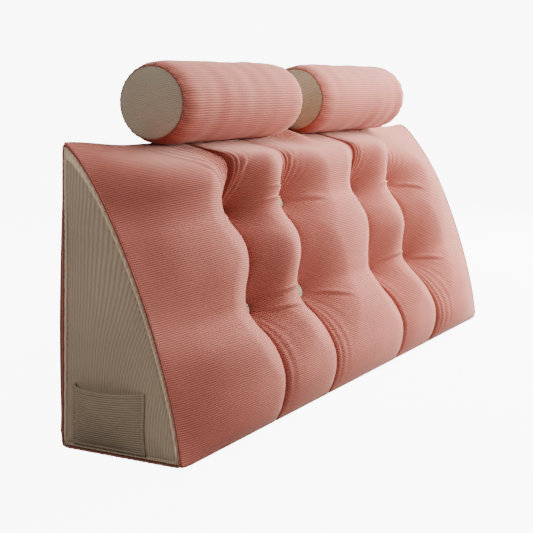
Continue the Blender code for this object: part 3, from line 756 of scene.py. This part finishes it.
def make_pocket(material):
    """The patch pocket: a closed thin sheet, sewn at its sides and foot and open at its top."""
    wide, tall = 74, 60
    across = np.linspace(0.0, 1.0, wide)
    across = across - 0.55 * np.sin(2 * math.pi * across) / (2 * math.pi)
    up = np.linspace(0.0, 1.0, tall)
    up, across = np.meshgrid(up, across, indexing="ij")
    layers = []
    for layer in (0, 1):
        x, depth, height = pocket_point(across, up, layer)
        layers.append(placed(x, depth, height).reshape(-1, 3))
    faces, places = grid_faces(tall, wide)
    inner = faces[:, ::-1]
    outer = faces + wide * tall
    at = np.stack((across, up), axis=-1).reshape(-1, 2) * (0.136, 0.102)
    at = np.concatenate((at, at))
    grid = np.arange(wide * tall).reshape(tall, wide)
    rim = np.concatenate((grid[0], grid[1:, -1], grid[-1, -2::-1], grid[-2:0:-1, 0]))
    following = np.roll(rim, -1)
    edge = np.stack((rim, following, grid.size + following, grid.size + rim), axis=-1)
    every = np.concatenate((inner, outer, edge))
    points = np.concatenate(layers)
    made = piece("patch_pocket", points, every.tolist(), at[every], material)
    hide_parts("pocket")


def stitch_pocket(material):
    """The row of stitches that holds each side of the pocket."""
    count = 40
    up = np.linspace(0.02, 0.94, count)
    for word, share in (("back", 0.030), ("front", 0.965)):
        x, depth, height = pocket_point(np.full((count, 1), share), up[:, None], 1)
        line = placed(x - 0.0004, depth, height).reshape(-1, 3)
        name = f"pocket_stitches_{word}"
        stitches(name, line, -1, 0.0062, 0.0040, 0.0011, material)


def turned(profile, sides, wobble=None):
    """Rings of a turned shape whose axis runs along its own X, as (rings, sides, 3) points."""
    angle = 2 * math.pi * np.arange(sides) / sides
    along = np.array([row[0] for row in profile])[:, None] + 0 * angle[None, :]
    radius = np.array([row[1] for row in profile])[:, None] + 0 * angle[None, :]
    if wobble is not None:
        along, radius = wobble(along, radius, angle[None, :])
    return np.stack((along, radius * np.cos(angle), radius * np.sin(angle)), axis=-1)


def turned_faces(rows, sides):
    """Faces of a turned shape with its ends closed, and the places of the quads' corners."""
    faces, places = grid_faces(rows, sides, wrap=True)
    caps = [list(range(sides))[::-1], [(rows - 1) * sides + k for k in range(sides)]]
    return faces.tolist() + caps, places


def make_button(name, node, column, row, material):
    """A covered button: a soft dome with the tucks of its cloth at the rim."""
    profile = [(0.0, 0.0005), (0.0, 0.0124), (0.0012, 0.0134), (0.0026, 0.0138), (0.0040, 0.0131)]
    for turn in np.linspace(0.15, 1.0, 8):
        angle = math.pi / 2 * turn
        profile.append((0.0044 + 0.0027 * math.sin(angle), 0.0128 * math.cos(angle) + 0.0003))
    sides = 48

    def tucks(along, radius, angle):
        near = bell(radius, 0.0134, 0.0022)
        return along, radius + near * 0.00022 * np.cos(14 * angle)

    rings = turned(profile, sides, tucks)
    points = rings.reshape(-1, 3)
    depth, height = front_points(np.array([column]), np.array([row]))
    out_depth, out_height = outward(np.array([row]))
    axis = Vector((0.0, -float(out_depth[0]), float(out_height[0])))
    turn = np.array(axis.to_track_quat("X", "Z").to_matrix())
    seat = placed(column, float(depth[0]), float(height[0])) + np.array(axis) * 0.0008
    every, _ = turned_faces(len(profile), sides)
    corner = [points[k][1:3] for face in every for k in face]
    made = piece(name, points @ turn.T + seat, every, corner, material)
    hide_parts(node)


def bolster_profile():
    """A bolster's body as (along, radius) from its left cap seam to its right one."""
    lip = CAP_RADIUS + 0.0006
    half = []
    for turn in np.linspace(0.0, 1.0, 26):
        angle = math.pi / 2 * turn
        radius = lip + (BOLSTER_RADIUS - lip) * math.sin(angle)
        half.append((BOLSTER_SHOULDER * (1 - math.cos(angle)), radius))
    straight = np.linspace(BOLSTER_SHOULDER, BOLSTER_LENGTH - BOLSTER_SHOULDER, 122)[1:-1]
    middle = [(x, BOLSTER_RADIUS) for x in straight]
    recess = 0.0026
    ends = [(recess, lip - 0.0012), (recess * 0.5, lip - 0.0002)]
    full = ends + half + middle + [(BOLSTER_LENGTH - a, r) for a, r in reversed(half)]
    return full + [(BOLSTER_LENGTH - a, r) for a, r in reversed(ends)]


def make_bolster(word, start, seed, rose):
    """A stuffed bolster: a round body with tucks at its seams and slack dents along it."""
    profile = bolster_profile()
    sides = 112
    axis_height = BOLSTER_UNDERSIDE + BOLSTER_RADIUS

    def slack(along, radius, angle):
        from_end = np.minimum(along, BOLSTER_LENGTH - along)
        near = bell(from_end, 0.0, 0.013) * smooth(from_end / 0.002)
        radius = radius - near * 0.0009 * (1 + np.cos(37 * angle + 1.3 * np.sin(3 * angle + seed)))
        far = bell(from_end, 0.0, 0.045) * smooth(from_end / 0.010)
        radius = radius - far * 0.0006 * (1 + np.cos(17 * angle + seed))
        full = smooth(from_end / 0.07)
        bands = 0.0009 * np.sin(2 * math.pi * along / 0.171 + seed + 0.8 * np.sin(angle))
        bands = bands + 0.0005 * np.sin(2 * math.pi * along / 0.067 + 2.1 * seed + 1.7 * np.cos(angle))
        bands = bands * (0.6 + 0.4 * np.sin(2 * angle + 5 * along / BOLSTER_LENGTH + seed))
        radius = radius + full * bands - full * 0.0008
        return along, radius

    rings = turned(profile, sides, slack)
    seat = placed(start, BOLSTER_AXIS_DEPTH, axis_height)
    points = rings.reshape(-1, 3) + seat
    faces, places = turned_faces(len(profile), sides)
    arc = BOLSTER_RADIUS * 2 * math.pi / sides
    along = np.array([row[0] for row in profile])
    uvs = np.stack((along[places[..., 0]], places[..., 1] * arc), axis=-1)
    corner = list(uvs.reshape(-1, 2)) + [(0.0, 0.0)] * (2 * sides)
    made = piece(f"bolster_cover_{word}", points, faces, corner, rose)
    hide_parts(f"bolster_{word}")


def make_cap(word, end, start, beige):
    """A bolster's end cap: a round domed sheet with tucks round its edge."""
    name = f"cap_{word}_{end}"
    sides = 96
    rows = np.linspace(1.0, 0.02, 24)
    layers = []
    angle = 2 * math.pi * np.arange(sides) / sides
    for layer in (0, 1):
        for share in rows:
            puckers = bell(share, 1.0, 0.10) * 0.0006 * np.cos(31 * angle + np.sin(4 * angle))
            along = -CAP_DOME * (1 - share**2.2) + (0.0 if layer else CLOTH) - (puckers if layer else 0.0)
            lift = 0.0005 * math.sin(9 * share) * np.cos(2 * angle + 0.6)
            radius = CAP_RADIUS * share
            ring = (along - lift * (1 - share), radius * np.cos(angle), radius * np.sin(angle))
            layers.append(np.stack(ring, axis=-1))
    points = np.concatenate(layers)
    count = len(rows) * sides
    faces, _ = grid_faces(len(rows), sides, wrap=True)
    k = np.arange(sides)
    rim = np.stack((k, count + k, count + (k + 1) % sides, (k + 1) % sides), axis=-1)
    every = faces[:, ::-1].tolist() + (faces + count).tolist() + rim.tolist()
    every += [[count - sides + j for j in range(sides)][::-1], [2 * count - sides + j for j in range(sides)]]
    corner = [(points[j][1] * 0.98 + points[j][2] * 0.16, points[j][2] * 0.98 - points[j][1] * 0.16)
              for face in every for j in face]
    if end == "right":
        points = points * (-1.0, -1.0, 1.0) + (BOLSTER_LENGTH, 0.0, 0.0)
    seat = placed(start, BOLSTER_AXIS_DEPTH, BOLSTER_UNDERSIDE + BOLSTER_RADIUS)
    made = piece(name, points + seat, every, corner, beige)
    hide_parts(f"bolster_{word}_cap_{end}")


def stitches(name, line, side, pitch, length, thick, material):
    """Small thread stitches along a line on one end of the cushion, joined in one mesh."""
    run = travelled(line)
    points, faces = [], []
    ring = ((-0.5, 0.35), (-0.34, 0.86), (0.0, 1.0), (0.34, 0.86), (0.5, 0.35))  # along, width
    sides = 6

    def at(place):
        return np.array([np.interp(place, run, line[:, k]) for k in range(3)])

    place = pitch / 2
    while place < run[-1] - pitch / 2:
        centre = at(place)
        tangent = at(place + pitch / 4) - centre
        tangent /= np.linalg.norm(tangent)
        normal = np.array([side, 0.0, 0.0])
        normal -= tangent * (normal @ tangent)
        normal /= np.linalg.norm(normal)
        across = np.cross(tangent, normal)
        start = len(points)
        for along, wide in ring:
            for k in range(sides):
                turn = 2 * math.pi * k / sides
                points.append(
                    centre + tangent * along * length + normal * (thick * 0.5 * wide * math.sin(turn))
                    + across * thick * 0.5 * wide * math.cos(turn)
                )
        for i in range(len(ring) - 1):
            for k in range(sides):
                a, b = start + i * sides + k, start + i * sides + (k + 1) % sides
                faces.append((a, b, b + sides, a + sides))
        faces.append(tuple(start + k for k in range(sides))[::-1])
        faces.append(tuple(start + (len(ring) - 1) * sides + k for k in range(sides)))
        place += pitch
    corner = [(0.0, 0.0)] * sum(len(face) for face in faces)
    piece(name, points, faces, corner, material)


def feed(tree, socket, value):
    """Gives a socket a fixed value, or links another node's output to it."""
    if isinstance(value, (int, float, tuple)):
        socket.default_value = value
    else:
        tree.links.new(value, socket)


def math_node(tree, operation, *values):
    node = tree.nodes.new("ShaderNodeMath")
    node.operation = operation
    for socket, value in zip(node.inputs, values):
        feed(tree, socket, value)
    return node.outputs[0]


def vector_node(tree, operation, vector, socket, by):
    node = tree.nodes.new("ShaderNodeVectorMath")
    node.operation = operation
    feed(tree, node.inputs[0], vector)
    feed(tree, node.inputs[socket], by)
    return node.outputs[0]


def noise_node(tree, vector, scale, detail=2.0, roughness=0.5, dimensions="2D"):
    node = tree.nodes.new("ShaderNodeTexNoise")
    node.noise_dimensions = dimensions
    node.inputs["Scale"].default_value = scale
    node.inputs["Detail"].default_value = detail
    node.inputs["Roughness"].default_value = roughness
    if vector is not None:
        tree.links.new(vector, node.inputs["Vector"])
    return node.outputs["Fac"]


def mixed(tree, fac, first, second):
    node = tree.nodes.new("ShaderNodeMix")
    node.data_type = "RGBA"
    for socket, value in ((node.inputs[0], fac), (node.inputs[6], first), (node.inputs[7], second)):
        feed(tree, socket, value)
    return node.outputs[2]


def new_material(name, **values):
    """A material, its node tree and its shader's sockets, some of them set."""
    material = bpy.data.materials.new(name)
    material.use_nodes = True
    tree = material.node_tree
    sockets = tree.nodes["Principled BSDF"].inputs
    for word, value in values.items():
        sockets[word.replace("_", " ")].default_value = value
    return material, tree, sockets


def corduroy(name, colours, sheen, pitch, rib_power, height, rim_highlight_lift):
    """Ribbed pile: darkened between the ribs by painted shade, paler where it is seen edge on, unevenly
    brushed.
    """
    light, hollow_shade, sheen_tint = colours
    material, tree, shader = new_material(
        name, Sheen_Weight=sheen, Sheen_Roughness=0.28, Sheen_Tint=sheen_tint, Specular_IOR_Level=0.12
    )
    uv_map = tree.nodes.new("ShaderNodeUVMap")
    uv_map.uv_map = "cloth"
    uv = uv_map.outputs["UV"]
    split = tree.nodes.new("ShaderNodeSeparateXYZ")
    tree.links.new(uv, split.inputs[0])
    drift = noise_node(tree, uv, 14.0)
    moved = math_node(tree, "MULTIPLY_ADD", drift, pitch * 0.55, split.outputs["Y"])
    wave = math_node(tree, "COSINE", math_node(tree, "MULTIPLY", moved, 2 * math.pi / pitch))
    rib = math_node(tree, "POWER", math_node(tree, "MULTIPLY_ADD", wave, 0.5, 0.5), rib_power)
    grain = noise_node(tree, vector_node(tree, "MULTIPLY", uv, 1, (1.0, 2.6, 1.0)), 620.0, 3.0, 0.62)
    place = tree.nodes.new("ShaderNodeTexCoord").outputs["Object"]
    brushed = noise_node(tree, place, 9.0, 3.0, dimensions="3D")
    # The hollows between the ribs take the darker colour: painted shade
    base = mixed(tree, math_node(tree, "MULTIPLY_ADD", rib, 0.62, 0.38), hollow_shade, light)
    spread = math_node(tree, "MULTIPLY_ADD", brushed, 0.36, 0.82)
    speck = math_node(tree, "MULTIPLY_ADD", grain, 0.50, 0.75)
    shade = math_node(tree, "MULTIPLY", spread, speck)
    # Painted highlight: the marked rolled rim of an end panel is made paler, as where it catches the light
    if rim_highlight_lift:
        rim_highlight = tree.nodes.new("ShaderNodeAttribute")
        rim_highlight.attribute_name = "rim_highlight"
        lifted = math_node(tree, "MULTIPLY_ADD", rim_highlight.outputs["Fac"], rim_highlight_lift, 1.0)
        shade = math_node(tree, "MULTIPLY", shade, lifted)
    tree.links.new(vector_node(tree, "SCALE", base, "Scale", shade), shader["Base Color"])
    tree.links.new(math_node(tree, "MULTIPLY_ADD", grain, 0.20, 0.72), shader["Roughness"])
    bump = tree.nodes.new("ShaderNodeBump")
    bump.inputs["Strength"].default_value = 0.75
    bump.inputs["Distance"].default_value = height
    tree.links.new(math_node(tree, "MULTIPLY_ADD", grain, 0.16, rib), bump.inputs["Height"])
    tree.links.new(bump.outputs["Normal"], shader["Normal"])
    return material


def thread(name, colour):
    """Twisted thread, for the stitches."""
    material, tree, shader = new_material(name, Roughness=0.75, Sheen_Weight=0.2)
    place = tree.nodes.new("ShaderNodeTexCoord").outputs["Object"]
    twist = noise_node(tree, place, 900.0, dimensions="3D")
    shade = math_node(tree, "MULTIPLY_ADD", twist, 0.6, 0.7)
    tree.links.new(vector_node(tree, "SCALE", colour, "Scale", shade), shader["Base Color"])
    return material


def make_camera():
    """The camera of the photograph, found from the object's own outline."""
    yaw, pitch, roll = CAMERA_YAW, math.radians(-8.84), math.radians(1.58)
    ahead = Vector((math.sin(yaw) * math.cos(pitch), math.cos(yaw) * math.cos(pitch), math.sin(pitch)))
    right = ahead.cross(Vector((0.0, 0.0, 1.0))).normalized()
    up = right.cross(ahead)
    turned_right = right * math.cos(roll) + up * math.sin(roll)
    turned_up = -right * math.sin(roll) + up * math.cos(roll)
    data = bpy.data.cameras.new("camera")
    data.lens = 87.29
    data.sensor_width = 36.0
    data.clip_end = 60.0
    camera = bpy.data.objects.new("camera", data)
    bpy.context.scene.collection.objects.link(camera)
    turn = Matrix((turned_right, turned_up, -ahead)).transposed().to_4x4()
    camera.matrix_world = Matrix.Translation((-2.4166, -1.0945, 0.628)) @ turn
    bpy.context.scene.camera = camera


def make_studio():
    """A pale floor that curves up into a pale wall, and soft lights from the front right."""
    steps = 24
    run = [(FLOOR_NEAR, 0.0), (FLOOR_FAR, 0.0)]
    for k in range(1, steps + 1):
        turn = math.pi / 2 * k / steps
        run.append((FLOOR_FAR + WALL_TURN * math.sin(turn), WALL_TURN * (1 - math.cos(turn))))
    run.append((FLOOR_FAR + WALL_TURN, WALL_TOP))
    ahead = np.array((math.sin(CAMERA_YAW), math.cos(CAMERA_YAW)))
    side = np.array((math.cos(CAMERA_YAW), -math.sin(CAMERA_YAW)))
    points, faces = [], []
    for along, height in run:
        for across in (-FLOOR_HALF_WIDTH, FLOOR_HALF_WIDTH):
            points.append((*(ahead * along + side * across), height - FLOOR_GAP))
    for k in range(len(run) - 1):
        faces.append((2 * k, 2 * k + 1, 2 * k + 3, 2 * k + 2))
    mesh = bpy.data.meshes.new("backdrop")
    mesh.from_pydata(points, [], faces)
    mesh.shade_smooth()
    floor = bpy.data.objects.new("backdrop", mesh)
    bpy.context.scene.collection.objects.link(floor)
    material, tree, shader = new_material(
        "backdrop", Roughness=0.95, Specular_IOR_Level=0.1, Emission_Color=(1.0, 1.0, 1.0, 1.0)
    )
    mottle = noise_node(tree, None, 3.0, dimensions="3D")
    tree.links.new(math_node(tree, "MULTIPLY_ADD", mottle, 0.01, 0.28), shader["Base Color"])
    seen = tree.nodes.new("ShaderNodeLightPath").outputs["Is Camera Ray"]
    tree.links.new(math_node(tree, "MULTIPLY", seen, 9.0), shader["Emission Strength"])
    mesh.materials.append(material)
    world = bpy.data.worlds.new("studio")
    world.use_nodes = True
    world.node_tree.nodes["Background"].inputs["Color"].default_value = (0.93, 0.98, 1.0, 1.0)
    world.node_tree.nodes["Background"].inputs["Strength"].default_value = 0.13
    bpy.context.scene.world = world
    for name, place, target, size, power, colour, spread in LIGHTS:
        data = bpy.data.lights.new(name, "AREA")
        data.shape = "RECTANGLE"
        data.size, data.size_y = size
        data.energy = power
        data.color = colour
        data.spread = math.radians(spread)
        light = bpy.data.objects.new(name, data)
        bpy.context.scene.collection.objects.link(light)
        light.location = place
        light.rotation_euler = (Vector(target) - Vector(place)).to_track_quat("-Z", "Y").to_euler()


def main():
    make_camera()
    make_studio()
    cloths = {name: corduroy(name, *row) for name, row in CLOTHS.items()}
    rose_thread = thread("rose_thread", (0.78, 0.46, 0.40))
    beige_thread = thread("beige_thread", (0.50, 0.42, 0.32))
    make_cover(cloths["rose"])
    for side, word in ((-1, "left"), (1, "right")):
        panel, area = make_end_panel(f"end_cloth_{word}", side, cloths["beige"])
        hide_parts(f"end_panel_{word}")
        make_welt(f"seam_welt_{word}", side, cloths["rose"])
        stitch_welt(f"welt_stitches_{word}", side, rose_thread)
    make_pocket(cloths["pocket_beige"])
    stitch_pocket(beige_thread)
    for i, column in enumerate(TUFT_COLUMNS):
        for row, word in zip(TUFT_ROWS, ("lower", "upper")):
            place = f"{word}_{i + 1}"
            make_button(f"covered_button_{place}", f"button_{place}", column, row, cloths["button_cloth"])
    starts = {"left": -BOLSTER_GAP / 2 - BOLSTER_LENGTH, "right": BOLSTER_GAP / 2}
    for word, seed in (("left", 0.7), ("right", 2.9)):
        make_bolster(word, starts[word], seed, cloths["bolster_rose"])
        for end in ("left", "right"):
            make_cap(word, end, starts[word], cloths["fine_beige"])


main()
